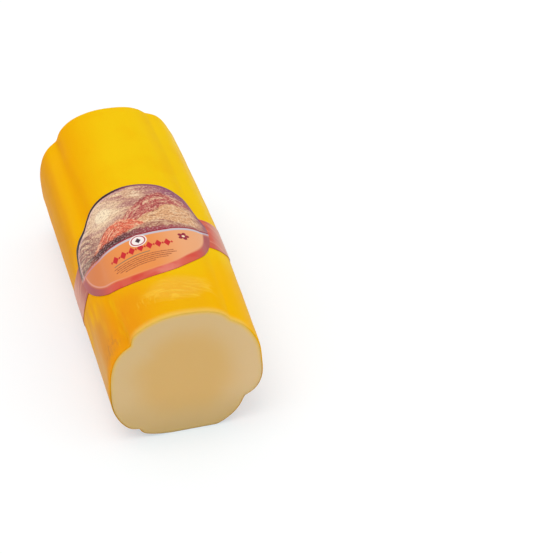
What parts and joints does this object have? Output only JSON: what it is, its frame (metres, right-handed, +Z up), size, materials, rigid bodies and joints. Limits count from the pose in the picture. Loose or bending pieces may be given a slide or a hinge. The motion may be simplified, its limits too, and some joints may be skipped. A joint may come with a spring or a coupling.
{
  "type": "provoleta cheese log",
  "caption": "Log of firm stretched-curd cheese in a tight yellow film with a printed label, cut square at the near end to show the smooth pale paste.",
  "frame": {"origin": "middle of the footprint, on the surface that the log rests on", "axes": "+Y along the log from the cut face to the closed far end, +Z up, +X to the right as seen from the cut face"},
  "size_m": [0.1238, 0.277, 0.1199],
  "materials": {
    "film": "tight shrunk film over the rind, yellow to orange-yellow, with a soft broad gloss",
    "cheese": "smooth cut paste, pale straw beige, matt with a faint waxy sheen",
    "label": "printed film, glossy, in orange, tan, crimson and salmon fields"
  },
  "bodies": {
    "root": {"cheese_log": "film", "label": "label"}
  },
  "joints": []
}
